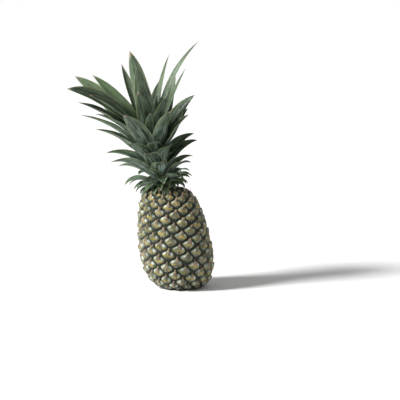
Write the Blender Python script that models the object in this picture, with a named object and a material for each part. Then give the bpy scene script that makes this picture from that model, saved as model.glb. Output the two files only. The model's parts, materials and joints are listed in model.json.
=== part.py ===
"""A fresh pineapple with its crown, standing on its cut base.

Metres, +Z up. The origin is the middle of the cut stalk face, which lies in the
plane that the fruit stands on. The front looks along -Y, and the fruit leans to -X.

The fruit is one grown piece: a barrel with a raised rhombic eye wherever its two
families of spirals cross. The cut stalk end sits in a pocket in the base, the crown
stem stands on the neck, and each crown leaf is a piece of its own round that stem.
"""

import math

import bmesh
import bpy
import numpy as np
from mathutils import Matrix, Vector

# ---- fruit ----
FRUIT_HEIGHT = 0.150  # from the cut base to the neck
FRUIT_RADIUS = 0.0515  # at the belly, in the grooves between the eyes
BELLY_HEIGHT = 0.060
BASE_RADIUS = 0.0300  # the flat spot that the fruit stands on
NECK_RADIUS = 0.0195  # the flat under the crown
SHOULDER_FULLNESS = 3.2  # superellipse power above the belly: 2 is round, more is squarer
SHOULDER_TAPER = 0.16  # share of the radius lost evenly from belly to neck
FOOT_FULLNESS = 2.4  # superellipse power below the belly
FRUIT_LEAN = math.radians(8.0)

# ---- eyes ----
SHALLOW_SPIRALS = 9  # spirals that climb gently to the right
STEEP_SPIRALS = 14  # spirals that climb steeply to the left
EYE_HEIGHT = 0.0198  # from one eye to the next straight above it, at the belly
EYE_SHRINK = 0.5  # how far eyes shorten where the fruit narrows: 0 not at all, 1 in step
EYE_RELIEF = 0.0042  # how far an eye stands above the grooves
EYE_EDGE = 0.20  # share of an eye's side that slopes down to its groove
TIP_RELIEF = 0.0022  # how far the bract tip stands above its eye
TIP_RISE = 0.0030  # how far the bract tip reaches up over its eye
RELIEF_FADE = 0.016  # the eyes flatten out over this distance at each end

# ---- cut stalk ----
STALK_RADIUS = 0.0125
STALK_LENGTH = 0.0120  # inside the fruit
STALK_CHAMFER = 0.0008
STALK_SIDES = 40

# ---- crown ----
STEM_RADIUS = 0.0135
STEM_TOP_RADIUS = 0.0050
STEM_LENGTH = 0.084
STEM_SIDES = 24
CROWN_LEAN = math.radians(13.0)
CROWN_OFFSET = 0.0050  # how far the crown stands off the middle of the neck, to -X
LEAF_COUNT = 57
LEAF_THICKNESS = 0.0014
LEAF_CHANNEL = 0.42  # how far the edges stand up, as a share of the half width
FIRST_LEAF_HEIGHT = 0.0045  # along the crown axis, above the neck
LAST_LEAF_HEIGHT = 0.080
LONG_SIDE = math.pi  # the side that the longest leaves grow to
LONG_SIDE_EXTRA = 0.10  # share of length gained there, and lost opposite

CLEARANCE = 0.0003  # between pieces that touch

GOLDEN_RATIO = (1 + math.sqrt(5)) / 2
GOLDEN_ANGLE = 2 * math.pi * (1 - 1 / GOLDEN_RATIO)
# The turn from one eye to the next, for a fruit whose spirals run 4, 5, 9, 14, 23.
EYE_TURN = 2 * math.pi / (4 + 1 / GOLDEN_RATIO)

# One row per stage, from the lowest leaves to the innermost: how far along the crown,
# then blade length, blade width, climb at the base, and how far the blade bends over.
LEAF_STAGES = (
    (0.00, 0.036, 0.0180, math.radians(34), math.radians(78)),
    (0.09, 0.045, 0.0210, math.radians(42), math.radians(66)),
    (0.16, 0.055, 0.0230, math.radians(48), math.radians(58)),
    (0.30, 0.071, 0.0250, math.radians(55), math.radians(46)),
    (0.45, 0.090, 0.0265, math.radians(59), math.radians(38)),
    (0.61, 0.112, 0.0270, math.radians(61), math.radians(30)),
    (0.75, 0.130, 0.0270, math.radians(65), math.radians(26)),
    (0.84, 0.138, 0.0265, math.radians(69), math.radians(24)),
    (0.92, 0.134, 0.0240, math.radians(74), math.radians(18)),
    (1.00, 0.130, 0.0200, math.radians(87), math.radians(5)),
)

# Leaves that stand out from their stage: length, width, climb and bend of their own, and
# how far round the stem each has swung from its place.
STANDOUT_LEAVES = {
    6: (0.050, 0.0215, math.radians(52), math.radians(71), math.radians(3)),
    11: (0.056, 0.0250, math.radians(47), math.radians(50), math.radians(-18)),
    13: (0.074, 0.0270, math.radians(50), math.radians(48), math.radians(-3)),
    14: (0.067, 0.0270, math.radians(54), math.radians(49), math.radians(3)),
    19: (0.062, 0.0270, math.radians(56), math.radians(53), math.radians(-18)),
    21: (0.079, 0.0235, math.radians(56), math.radians(45), math.radians(12)),
    22: (0.064, 0.0270, math.radians(52), math.radians(44), math.radians(-3)),
    24: (0.064, 0.0240, math.radians(58), math.radians(52), math.radians(-9)),
    29: (0.110, 0.0280, math.radians(59), math.radians(29), math.radians(0)),
    31: (0.128, 0.0215, math.radians(58), math.radians(36), math.radians(0)),
    37: (0.078, 0.0195, math.radians(66), math.radians(31), math.radians(9)),
    39: (0.131, 0.0260, math.radians(60), math.radians(29), math.radians(9)),
    40: (0.090, 0.0195, math.radians(66), math.radians(21), math.radians(-15)),
    42: (0.132, 0.0235, math.radians(63), math.radians(31), math.radians(-18)),
    43: (0.111, 0.0180, math.radians(64), math.radians(9), math.radians(15)),
    44: (0.163, 0.0235, math.radians(61), math.radians(24), math.radians(-3)),
    45: (0.092, 0.0205, math.radians(72), math.radians(9), math.radians(-24)),
    46: (0.111, 0.0170, math.radians(63), math.radians(24), math.radians(0)),
    47: (0.151, 0.0220, math.radians(68), math.radians(49), math.radians(-12)),
    48: (0.120, 0.0125, math.radians(58), math.radians(10), math.radians(-6)),
    49: (0.130, 0.0155, math.radians(70), math.radians(8), math.radians(-6)),
    50: (0.115, 0.0195, math.radians(78), math.radians(5), math.radians(18)),
    51: (0.134, 0.0115, math.radians(70), math.radians(22), math.radians(9)),
    52: (0.129, 0.0155, math.radians(68), math.radians(18), math.radians(-12)),
    53: (0.072, 0.0085, math.radians(84), math.radians(0), math.radians(0)),
    54: (0.121, 0.0195, math.radians(79), math.radians(12), math.radians(3)),
    55: (0.130, 0.0190, math.radians(90), math.radians(2), math.radians(30)),
    56: (0.154, 0.0115, math.radians(67), math.radians(36), math.radians(3)),
    57: (0.104, 0.0120, math.radians(88), math.radians(0), math.radians(0)),
}

RIND = ("rind", (0.30, 0.31, 0.16), 0.62)
CUT_STALK = ("cut_stalk", (0.52, 0.44, 0.27), 0.80)
STEM = ("crown_stem", (0.45, 0.52, 0.30), 0.70)
LEAF = ("leaf", (0.08, 0.16, 0.09), 0.50)


def clear_scene():
    """Removes every object, mesh and material of the open file."""
    for store in (bpy.data.objects, bpy.data.meshes, bpy.data.materials):
        for item in list(store):
            store.remove(item)


def finish_material(name, colour, roughness):
    """A plain Principled material, made once per name."""
    found = bpy.data.materials.get(name)
    if found:
        return found
    material = bpy.data.materials.new(name)
    material.use_nodes = True
    shader = material.node_tree.nodes["Principled BSDF"]
    shader.inputs["Base Color"].default_value = (*colour, 1.0)
    shader.inputs["Roughness"].default_value = roughness
    shader.inputs["Metallic"].default_value = 0.0
    return material


def add_object(name, bm, finish, sharp_angle):
    """Turns a finished bmesh into a named object of the scene."""
    bmesh.ops.recalc_face_normals(bm, faces=bm.faces)
    mesh = bpy.data.meshes.new(name)
    bm.to_mesh(mesh)
    bm.free()
    mesh.shade_smooth()
    mesh.set_sharp_from_angle(angle=sharp_angle)
    mesh.materials.append(finish_material(*finish))
    made = bpy.data.objects.new(name, mesh)
    bpy.context.scene.collection.objects.link(made)
    return made


# ---- fruit ----
def fruit_axis(height):
    """How far the fruit's middle has moved along X at this height."""
    return -math.tan(FRUIT_LEAN) * height


def fruit_profile(samples=400):
    """Radius and height along the rind, from the edge of the flat base to the neck.

    Both halves are superellipses that meet at the belly: the radius falls as
    (1 - x^n)^(1/n), where x runs from 0 at the belly to 1 at the half's own pole.
    """
    base_share = BASE_RADIUS / FRUIT_RADIUS
    foot_cut = (1 - base_share**FOOT_FULLNESS) ** (1 / FOOT_FULLNESS)
    down = np.linspace(foot_cut, 0, samples, endpoint=False)
    foot_radius = FRUIT_RADIUS * (1 - down**FOOT_FULLNESS) ** (1 / FOOT_FULLNESS)
    foot_height = BELLY_HEIGHT * (1 - down / foot_cut)
    # Even steps of the angle keep the points close where the shoulder turns over.
    swing = np.linspace(0, math.pi / 2, samples)
    up = np.sin(swing) ** (2 / SHOULDER_FULLNESS)
    shoulder_radius = FRUIT_RADIUS * np.cos(swing) ** (2 / SHOULDER_FULLNESS)
    shoulder_radius *= 1 - SHOULDER_TAPER * up
    kept = shoulder_radius > NECK_RADIUS
    neck_up = np.interp(-NECK_RADIUS, -shoulder_radius, up)
    shoulder_up = np.append(up[kept], neck_up)
    shoulder_radius = np.append(shoulder_radius[kept], NECK_RADIUS)
    shoulder_height = BELLY_HEIGHT + (FRUIT_HEIGHT - BELLY_HEIGHT) * shoulder_up / neck_up
    radius = np.append(foot_radius, shoulder_radius)
    height = np.append(foot_height, shoulder_height)
    return radius, height


def eye_travel(radius, height):
    """Distance along the profile, stretched where the fruit narrows so eyes shorten."""
    steps = np.hypot(np.diff(radius), np.diff(height))
    middle = (radius[1:] + radius[:-1]) / 2
    stretched = steps * (FRUIT_RADIUS / middle) ** EYE_SHRINK
    return np.append(0.0, np.cumsum(stretched)), np.append(0.0, np.cumsum(steps))


def rind_points(columns, rows):
    """Places the lattice points of the rind, three to each side of an eye.

    A column step follows a shallow spiral and a row step a steep one. Points past
    either end of the fruit gather on its rim there.
    """
    radius, height = fruit_profile()
    travel, along = eye_travel(radius, height)
    outward_r = np.gradient(height)
    outward_z = -np.gradient(radius)
    size = np.hypot(outward_r, outward_z)
    edge = np.array([0.0, EYE_EDGE, 1 - EYE_EDGE])
    a = columns // 3 + edge[columns % 3]
    b = rows // 3 + edge[rows % 3]
    per_eye = EYE_HEIGHT / (SHALLOW_SPIRALS + STEEP_SPIRALS)
    shallow_turn = 4 * math.pi - SHALLOW_SPIRALS * EYE_TURN
    steep_turn = 6 * math.pi - STEEP_SPIRALS * EYE_TURN
    angle = a * shallow_turn + b * steep_turn
    place = (a * SHALLOW_SPIRALS + b * STEEP_SPIRALS) * per_eye
    raised = (columns % 3 > 0) & (rows % 3 > 0)
    tip = (columns % 3 == 2) & (rows % 3 == 2)
    inside = (place > 0) & (place < travel[-1])
    place = np.clip(place, 0, travel[-1])
    from_end = np.minimum(np.interp(place, travel, along), along[-1] - np.interp(place, travel, along))
    fade = np.clip(from_end / RELIEF_FADE, 0, 1)
    place = np.where(tip, np.minimum(place + TIP_RISE * fade, travel[-1]), place)
    lift = fade * (EYE_RELIEF * raised + TIP_RELIEF * tip)
    r = np.interp(place, travel, radius) + lift * np.interp(place, travel, outward_r / size)
    z = np.interp(place, travel, height) + lift * np.interp(place, travel, outward_z / size)
    points = np.stack([r * np.cos(angle) + fruit_axis(1) * z, r * np.sin(angle), z], axis=-1)
    return points, inside


def close_rim(bm, edges):
    """Fills a flat rim with one face."""
    bmesh.ops.edgeloop_fill(bm, edges=edges)


def extrude_rim(bm, edges, radius, height):
    """Extrudes a round rim to a new radius and height, and returns the new rim."""
    made = bmesh.ops.extrude_edge_only(bm, edges=edges)["geom"]
    for vert in (item for item in made if isinstance(item, bmesh.types.BMVert)):
        outward = Vector((vert.co.x - fruit_axis(vert.co.z), vert.co.y)).normalized()
        vert.co = (outward.x * radius + fruit_axis(height), outward.y * radius, height)
    return [item for item in made if isinstance(item, bmesh.types.BMEdge)]


def build_fruit():
    """The whole fruit, with its eyes, a flat neck and a pocket for the stalk."""
    around = 3 * STEEP_SPIRALS
    wrap = 3 * SHALLOW_SPIRALS
    radius, height = fruit_profile()
    total = eye_travel(radius, height)[0][-1]
    per_row = STEEP_SPIRALS * EYE_HEIGHT / (SHALLOW_SPIRALS + STEEP_SPIRALS) / 3
    first = -wrap - 6
    last = math.ceil(total / per_row) + 6
    columns, rows = np.meshgrid(np.arange(around), np.arange(first, last), indexing="ij")
    points, inside = rind_points(columns, rows)

    bm = bmesh.new()
    verts = {}

    def vertex(column, row):
        """The one vertex of a lattice point, however many turns away it is named."""
        turns, column = divmod(column, around)
        row += turns * wrap
        key = (column, row)
        if key not in verts:
            verts[key] = bm.verts.new(points[column, row - first])
        return verts[key]

    def is_inside(column, row):
        turns, column = divmod(column, around)
        row += turns * wrap - first
        return 0 <= row < inside.shape[1] and inside[column, row]

    for column in range(around):
        for row in range(first, last):
            corners = [(column, row), (column + 1, row), (column + 1, row + 1), (column, row + 1)]
            if any(is_inside(*corner) for corner in corners):
                bm.faces.new([vertex(*corner) for corner in corners])

    rims = [edge for edge in bm.edges if edge.is_boundary]
    neck_rim = [edge for edge in rims if edge.verts[0].co.z > FRUIT_HEIGHT / 2]
    base_rim = [edge for edge in rims if edge.verts[0].co.z < FRUIT_HEIGHT / 2]
    close_rim(bm, neck_rim)
    pocket_rim = extrude_rim(bm, base_rim, STALK_RADIUS + CLEARANCE, 0.0)
    pocket_floor = extrude_rim(
        bm, pocket_rim, STALK_RADIUS + CLEARANCE, STALK_LENGTH + CLEARANCE
    )
    close_rim(bm, pocket_floor)
    return add_object("fruit", bm, RIND, math.radians(30))


def build_stalk():
    """The cut end of the stalk, flush with the base and following the fruit's lean."""
    bm = bmesh.new()
    bmesh.ops.create_cone(
        bm, cap_ends=True, segments=STALK_SIDES,
        radius1=STALK_RADIUS, radius2=STALK_RADIUS, depth=STALK_LENGTH,
        matrix=Matrix.Translation((0, 0, STALK_LENGTH / 2)),
    )
    bmesh.ops.bevel(
        bm, geom=[edge for edge in bm.edges if edge.calc_face_angle() > math.radians(60)],
        offset=STALK_CHAMFER, segments=1, affect="EDGES",
    )
    for vert in bm.verts:
        vert.co.x += fruit_axis(vert.co.z)
    return add_object("stalk_stub", bm, CUT_STALK, math.radians(30))


# ---- crown ----
def crown_frame():
    """Carries crown coordinates, whose Z is the crown's own axis, onto the neck."""
    neck = Vector((fruit_axis(FRUIT_HEIGHT) - CROWN_OFFSET, 0, FRUIT_HEIGHT))
    return Matrix.Translation(neck) @ Matrix.Rotation(-CROWN_LEAN, 4, "Y")


def stem_radius(height):
    """The crown stem's radius at a height on its axis."""
    share = min(max(height / STEM_LENGTH, 0.0), 1.0)
    return STEM_RADIUS + (STEM_TOP_RADIUS - STEM_RADIUS) * share


def build_stem():
    """The crown stem: a taper whose foot is cut level to stand on the neck."""
    bm = bmesh.new()
    frame = crown_frame()
    turns = np.arange(STEM_SIDES) * 2 * math.pi / STEM_SIDES
    foot_drop = STEM_RADIUS * math.tan(CROWN_LEAN)
    heights = (0.0, foot_drop + 4 * CLEARANCE, STEM_LENGTH / 3, 2 * STEM_LENGTH / 3, STEM_LENGTH)
    rings = []
    for height in heights:
        radius = stem_radius(height)
        ring = [frame @ Vector((radius * math.cos(t), radius * math.sin(t), height)) for t in turns]
        if height == 0.0:
            for point in ring:
                point.z = FRUIT_HEIGHT + CLEARANCE
        rings.append([bm.verts.new(point) for point in ring])
    for lower, upper in zip(rings, rings[1:], strict=False):
        for k in range(STEM_SIDES):
            n = (k + 1) % STEM_SIDES
            bm.faces.new((lower[k], lower[n], upper[n], upper[k]))
    bm.faces.new(rings[0][::-1])
    bm.faces.new(rings[-1])
    return add_object("crown_stem", bm, STEM, math.radians(40))


def between(place, places, values):
    """The value at a place between listed ones, as a plain number."""
    return float(np.interp(place, places, values))


def sway(number, kind):
    """A small repeatable unevenness between -1 and 1 for one leaf and one measure."""
    return math.sin(12.9898 * number + 4.1414 * kind)


def leaf_shape(number):
    """The measures of leaf 1, 2, 3 ...: its turn, foot height, length, width, climb and bend."""
    rank = (number - 1) / (LEAF_COUNT - 1)
    turn = (number - 1) * GOLDEN_ANGLE
    foot = FIRST_LEAF_HEIGHT + (LAST_LEAF_HEIGHT - FIRST_LEAF_HEIGHT) * rank
    if number in STANDOUT_LEAVES:
        length, width, climb, bend, swing = STANDOUT_LEAVES[number]
        return turn + swing, foot, length, width, climb, bend
    ranks, lengths, widths, climbs, bends = zip(*LEAF_STAGES, strict=True)
    side = math.cos(turn - LONG_SIDE)
    length = between(rank, ranks, lengths) * (1 + LONG_SIDE_EXTRA * side + 0.05 * sway(number, 1))
    width = between(rank, ranks, widths) * (1 + 0.05 * sway(number, 2))
    climb = between(rank, ranks, climbs)
    bend = between(rank, ranks, bends) * (1 + 0.12 * sway(number, 3))
    return turn, foot, length, width, climb, bend


LEAF_STATIONS = (0.0, 0.07, 0.16, 0.28, 0.40, 0.53, 0.66, 0.79, 0.91)
FOOT_SPAN = 1.0  # a blade's width at its foot, as a share of the stem's radius there
WIDEST = 0.34  # how far along a blade is widest


def blade_width(along, foot_width, full_width):
    """A blade's width along its length.

    It swells smoothly from the foot to the widest place and then draws in to a point.
    """
    if along < WIDEST:
        swell = math.sin(along / WIDEST * math.pi / 2)
        return foot_width + (full_width - foot_width) * swell
    return full_width * (1 - ((along - WIDEST) / (1 - WIDEST)) ** 2.2)


def blade_line(climb, bend, length, steps=64):
    """Reach and height along a blade that starts at its climb and bends over evenly."""
    share = (np.arange(steps) + 0.5) / steps
    slope = climb - bend * share**1.4
    reach = np.append(0.0, np.cumsum(np.cos(slope))) * length / steps
    rise = np.append(0.0, np.cumsum(np.sin(slope))) * length / steps
    return np.linspace(0, 1, steps + 1), reach, rise


def build_leaf(number):
    """One crown leaf: a channelled blade, thickest along its middle, edges sharp."""
    turn, foot, length, width, climb, bend = leaf_shape(number)
    shares, reaches, rises = blade_line(climb, bend, length)
    # The foot's lower corner is what comes nearest to the stem.
    start = stem_radius(foot) + CLEARANCE + LEAF_THICKNESS / 2 * math.sin(climb)
    outward = Vector((math.cos(turn), math.sin(turn), 0))
    across = Vector((-math.sin(turn), math.cos(turn), 0))
    frame = crown_frame()
    bm = bmesh.new()
    rings = []
    for along in LEAF_STATIONS:
        slope = climb - bend * along**1.4
        facing = -math.sin(slope) * outward + Vector((0, 0, math.cos(slope)))
        reach = start + between(along, shares, reaches)
        middle = reach * outward + Vector((0, 0, foot + between(along, shares, rises)))
        half = blade_width(along, FOOT_SPAN * stem_radius(foot), width) / 2
        thick = LEAF_THICKNESS / 2 * (1 - 0.6 * along)
        edge = facing * half * LEAF_CHANNEL
        ring = (middle - facing * thick, middle + across * half + edge,
                middle + facing * thick, middle - across * half + edge)
        rings.append([bm.verts.new(frame @ point) for point in ring])
    for lower, upper in zip(rings, rings[1:], strict=False):
        for k in range(4):
            n = (k + 1) % 4
            bm.faces.new((lower[k], lower[n], upper[n], upper[k]))
    bm.faces.new(rings[0][::-1])
    reach = start + between(1, shares, reaches)
    tip = reach * outward + Vector((0, 0, foot + between(1, shares, rises)))
    point = bm.verts.new(frame @ tip)
    for k in range(4):
        bm.faces.new((rings[-1][k], rings[-1][(k + 1) % 4], point))
    return add_object(f"crown_leaf_{number:02d}", bm, LEAF, math.radians(60))


def main():
    """Builds every piece of the pineapple."""
    clear_scene()
    build_fruit()
    build_stalk()
    build_stem()
    for number in range(1, LEAF_COUNT + 1):
        build_leaf(number)


main()
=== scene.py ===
"""The looks of a fresh pineapple with its crown, standing on its cut base.

Metres, +Z up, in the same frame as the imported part. The fruit leans to -X and its
front looks along -Y. Every surface here is a function of two parameters, worked out
as whole arrays: the rind over the two families of eye spirals, and each leaf over
its length and its width.
"""

import json
import logging
import math
from dataclasses import dataclass, field
from enum import Enum

import bpy
import numpy as np
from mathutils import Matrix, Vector

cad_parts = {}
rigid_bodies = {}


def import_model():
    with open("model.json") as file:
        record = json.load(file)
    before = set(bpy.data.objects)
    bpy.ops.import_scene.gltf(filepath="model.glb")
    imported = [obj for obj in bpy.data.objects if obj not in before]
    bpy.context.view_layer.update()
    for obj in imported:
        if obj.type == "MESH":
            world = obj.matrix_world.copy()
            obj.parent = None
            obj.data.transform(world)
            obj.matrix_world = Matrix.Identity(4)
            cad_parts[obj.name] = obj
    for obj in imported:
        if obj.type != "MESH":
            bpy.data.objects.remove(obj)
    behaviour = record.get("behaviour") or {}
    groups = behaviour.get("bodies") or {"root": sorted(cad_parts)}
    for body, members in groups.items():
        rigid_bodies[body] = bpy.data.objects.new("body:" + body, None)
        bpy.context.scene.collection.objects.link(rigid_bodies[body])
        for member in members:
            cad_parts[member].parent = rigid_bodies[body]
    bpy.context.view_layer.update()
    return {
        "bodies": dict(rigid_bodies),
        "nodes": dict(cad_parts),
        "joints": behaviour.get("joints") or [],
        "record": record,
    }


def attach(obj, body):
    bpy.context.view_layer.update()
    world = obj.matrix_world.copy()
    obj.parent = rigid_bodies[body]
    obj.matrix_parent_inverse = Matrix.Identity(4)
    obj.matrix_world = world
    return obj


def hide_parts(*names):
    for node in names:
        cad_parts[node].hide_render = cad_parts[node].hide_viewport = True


LOG = logging.getLogger("pineapple")
ROOT = "root"
SCATTER_PITCH = 12.9898
SCATTER_SHIFT = 78.233
SCATTER_GAIN = 43758.5453
GOLDEN_RATIO = (1 + math.sqrt(5)) / 2
GOLDEN_ANGLE = 2 * math.pi * (1 - 1 / GOLDEN_RATIO)

Colour = tuple[float, float, float]
Stops = tuple[tuple[float, Colour], ...]
Socket = bpy.types.NodeSocket


class Slot(Enum):
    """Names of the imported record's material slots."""

    RIND = "rind"
    LEAF = "leaf"


# ---- arrays ----
def smoothstep(low: float, high: float, value: np.ndarray) -> np.ndarray:
    """An S-shaped step from 0 to 1.

    The value's share x of the way from low to high becomes 3x^2 - 2x^3.

    Args:
        low: Where the step starts.
        high: Where it ends. It may be the lower of the two.
        value: The values to map.

    Returns:
        The stepped values, between 0 and 1.
    """
    share = np.clip((value - low) / (high - low), 0.0, 1.0)
    return share * share * (3 - 2 * share)


def scatter(number: np.ndarray | float, kind: float) -> np.ndarray:
    """A repeatable unevenness between 0 and 1.

    It is the fractional part of a large multiple of the sine of the number.

    Args:
        number: Which eye, leaf or point it is.
        kind: Which of its measures it is for.

    Returns:
        One value for each number.
    """
    wave = np.abs(np.sin(np.asarray(number) * SCATTER_PITCH + kind * SCATTER_SHIFT))
    return np.modf(wave * SCATTER_GAIN)[0]


def spread_over(values: np.ndarray | float, shape: tuple[int, ...]) -> np.ndarray:
    """The values, repeated over a grid's shape and laid in one row."""
    return np.broadcast_to(values, shape).ravel()


def unit(vectors: np.ndarray) -> np.ndarray:
    """The vectors, each scaled to a length of 1."""
    return vectors / np.linalg.norm(vectors, axis=-1, keepdims=True)


def outward_faces(points: np.ndarray, faces: np.ndarray) -> np.ndarray:
    """Turns all faces of a closed surface to point out.

    The volume is the sum of the tetrahedra from the middle to each half face. Where
    it comes out negative, every face is turned round.

    Args:
        points: Vertices, one row each.
        faces: Corner indices, four to a face.

    Returns:
        The faces, turned round if they pointed in.
    """
    corners = (points - points.mean(axis=0))[faces]
    volume = 0.0
    for first, second in ((1, 2), (2, 3)):
        cross = np.cross(corners[:, first], corners[:, second])
        volume += float(np.einsum("ij,ij->i", corners[:, 0], cross).sum())
    return faces if volume > 0 else faces[:, ::-1]


def tube_faces(rings: int, around: int) -> np.ndarray:
    """The faces of a closed flattened tube of rings, with both of its ends capped.

    Point k of a ring faces point around - k across the tube, so each cap is a strip.

    Args:
        rings: How many rings there are.
        around: How many points each ring has, an even number.

    Returns:
        Corner indices, four to a face.
    """
    ring, point = np.meshgrid(np.arange(rings - 1), np.arange(around), indexing="ij")
    after = (point + 1) % around
    low, high = ring * around, (ring + 1) * around
    wall = np.stack([low + point, low + after, high + after, high + point], axis=-1).reshape(-1, 4)
    step = np.arange(around // 2)
    near = np.stack([step, (around - step) % around, (around - step - 1) % around, step + 1], axis=-1)
    # A cap's first and last faces name one edge point twice, and keep_real_corners makes
    # triangles of them.
    far = near[:, ::-1] + (rings - 1) * around
    return np.concatenate([wall, near, far])


def join_tubes(tubes: int, rings: int, around: int) -> np.ndarray:
    """The faces of several like tubes whose points follow one another."""
    one = tube_faces(rings, around)
    starts = np.arange(tubes)[:, None, None] * rings * around
    return (one[None] + starts).reshape(-1, 4)


def keep_real_corners(faces: np.ndarray) -> list[list[int]]:
    """The faces as lists, with a corner that is named twice kept once."""
    return [list(dict.fromkeys(face)) for face in faces.tolist()]


def add_object(name: str, data: bpy.types.ID) -> bpy.types.Object:
    """Puts a new object in the scene, at the origin.

    Args:
        name: The object's name.
        data: Its mesh, lamp or camera.

    Returns:
        The object.
    """
    made = bpy.data.objects.new(name, data)
    bpy.context.scene.collection.objects.link(made)
    return made


def aim(made: bpy.types.Object, direction: Vector) -> None:
    """Turns a lamp or a camera to look along a direction."""
    made.rotation_euler = direction.to_track_quat("-Z", "Y").to_euler()


@dataclass
class Skin:
    """One surface ready to become a piece.

    Attributes:
        points: Vertices, one row each.
        faces: Corner indices, four to a face.
        values: Named values, one for each vertex.
        uv: Pattern coordinates, one pair for each vertex.
    """

    points: np.ndarray
    faces: np.ndarray
    values: dict[str, np.ndarray] = field(default_factory=dict)
    uv: np.ndarray | None = None

    def piece(self, name: str, material: bpy.types.Material, slot: Slot) -> bpy.types.Object:
        """Makes the surface a piece of the object.

        Args:
            name: The piece's name.
            material: Its finish.
            slot: The record's slot that the finish belongs to. Not used.

        Returns:
            The new object, which rides on the root body.
        """
        faces = keep_real_corners(outward_faces(self.points, self.faces))
        mesh = bpy.data.meshes.new(name)
        mesh.from_pydata(self.points.tolist(), [], faces)
        for label, numbers in self.values.items():
            store = mesh.attributes.new(label, "FLOAT", "POINT")
            store.data.foreach_set("value", np.asarray(numbers, np.float32).ravel())
        if self.uv is not None:
            corners = np.empty(len(mesh.loops), np.int32)
            mesh.loops.foreach_get("vertex_index", corners)
            layer = mesh.uv_layers.new(name="surface")
            layer.data.foreach_set("uv", np.asarray(self.uv, np.float32)[corners].ravel())
        mesh.shade_smooth()
        mesh.materials.append(material)
        mesh.update()
        made = add_object(name, mesh)
        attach(made, ROOT)
        LOG.info("%s: %d faces", name, len(mesh.polygons))
        return made


# ---- finishes ----
class NodeMaker:
    """Makes and joins the nodes of one material."""

    def __init__(self, name: str) -> None:
        """Starts a material.

        Args:
            name: The material's name.
        """
        self.material = bpy.data.materials.new(name)
        self.material.use_nodes = True
        self.tree = self.material.node_tree
        self.shader = self.tree.nodes["Principled BSDF"]

    def put(self, source: object, target: Socket) -> None:
        """Links a socket, or sets a plain number or colour.

        Args:
            source: A node's output socket, a number, a vector or a colour.
            target: The input that takes it.
        """
        if isinstance(source, Socket):
            self.tree.links.new(source, target)
        elif isinstance(source, tuple) and target.type == "RGBA":
            target.default_value = (*source, 1.0)
        else:
            target.default_value = source

    def node(
        self, kind: str, output: str | int, inputs: dict[str | int, object], **settings: object
    ) -> Socket:
        """Adds a node.

        Args:
            kind: Its type, without the prefix that all shader nodes share.
            output: Which of its outputs is wanted.
            inputs: What goes into each of its inputs.
            settings: Its own settings.

        Returns:
            That output.
        """
        node = self.tree.nodes.new("ShaderNode" + kind)
        for name, value in settings.items():
            setattr(node, name, value)
        for key, source in inputs.items():
            self.put(source, node.inputs[key])
        return node.outputs[output]

    def coordinates(self, output: str = "Object") -> Socket:
        """The piece's own coordinates."""
        return self.node("TexCoord", output, {})

    def attribute(self, name: str) -> Socket:
        """A named value of the surface."""
        return self.node("Attribute", "Fac", {}, attribute_name=name)

    def scaled(self, vector: object, scale: Colour) -> Socket:
        """The coordinates, stretched along each axis."""
        return self.node("Mapping", "Vector", {"Vector": vector, "Scale": scale})

    def noise(self, vector: object, scale: float, detail: float = 3.0, roughness: float = 0.55) -> Socket:
        """Soft noise between 0 and 1: lumps to a metre, finer layers, and their strength."""
        inputs = {"Vector": vector, "Scale": scale, "Detail": detail, "Roughness": roughness}
        return self.node("TexNoise", "Fac", inputs)

    def sums(self, operation: str, first: object, second: object = 0.0, clamp: bool = False) -> Socket:
        """One step of arithmetic, by Blender's name for it, kept between 0 and 1 if asked."""
        return self.node("Math", 0, {0: first, 1: second}, operation=operation, use_clamp=clamp)

    def spread(
        self, value: object, low: float, high: float, to_low: float = 0.0, to_high: float = 1.0
    ) -> Socket:
        """Maps the values from low to high onto another range, and stops at its ends."""
        return self.node("MapRange", 0, dict(enumerate((value, low, high, to_low, to_high))))

    def mixed(self, share: object, first: object, second: object) -> Socket:
        """A colour between two others, by the share of the second."""
        return self.node("Mix", 2, {0: share, 6: first, 7: second}, data_type="RGBA")

    def ramp(self, value: object, stops: Stops) -> Socket:
        """A colour that runs through several stops.

        Args:
            value: Where along the stops it is.
            stops: Places and their colours, in order.

        Returns:
            The colour.
        """
        node = self.tree.nodes.new("ShaderNodeValToRGB")
        elements = node.color_ramp.elements
        while len(elements) < len(stops):
            elements.new(1.0)
        for element, (place, colour) in zip(elements, stops, strict=True):
            element.position = place
            element.color = (*colour, 1.0)
        self.put(value, node.inputs["Fac"])
        return node.outputs["Color"]

    def layered(self, colour: object, *layers: tuple[object, float, float, float, object]) -> Socket:
        """Lays colours over one another.

        Args:
            colour: The lowest one.
            layers: For each further one the value that shows it, where that starts to,
                where it fully does, the share shown there, and the colour.

        Returns:
            The colour of them all.
        """
        for value, low, high, most, upper in layers:
            colour = self.mixed(self.spread(value, low, high, 0.0, most), colour, upper)
        return colour

    def relief(self, *layers: tuple[object, float, float]) -> Socket:
        """Adds up fine relief.

        Args:
            layers: For each, from the coarsest, its height between 0 and 1, how much of
                it shows, and how high 1 is, in metres.

        Returns:
            The bent normal.
        """
        below: dict[str, object] = {}
        for height, strength, distance in layers:
            inputs = {"Height": height, "Strength": strength, "Distance": distance, **below}
            below = {"Normal": self.node("Bump", "Normal", inputs)}
        return below["Normal"]

    def finish(
        self, colour: object, roughness: object, normal: object, specular: float
    ) -> bpy.types.Material:
        """Joins the last nodes to the shader.

        Args:
            colour: The surface's colour.
            roughness: Its roughness.
            normal: Its normal.
            specular: How strongly it shines.

        Returns:
            The finished material.
        """
        for name, source in (("Base Color", colour), ("Roughness", roughness), ("Normal", normal)):
            self.put(source, self.shader.inputs[name])
        self.shader.inputs["Specular IOR Level"].default_value = specular
        return self.material


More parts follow.
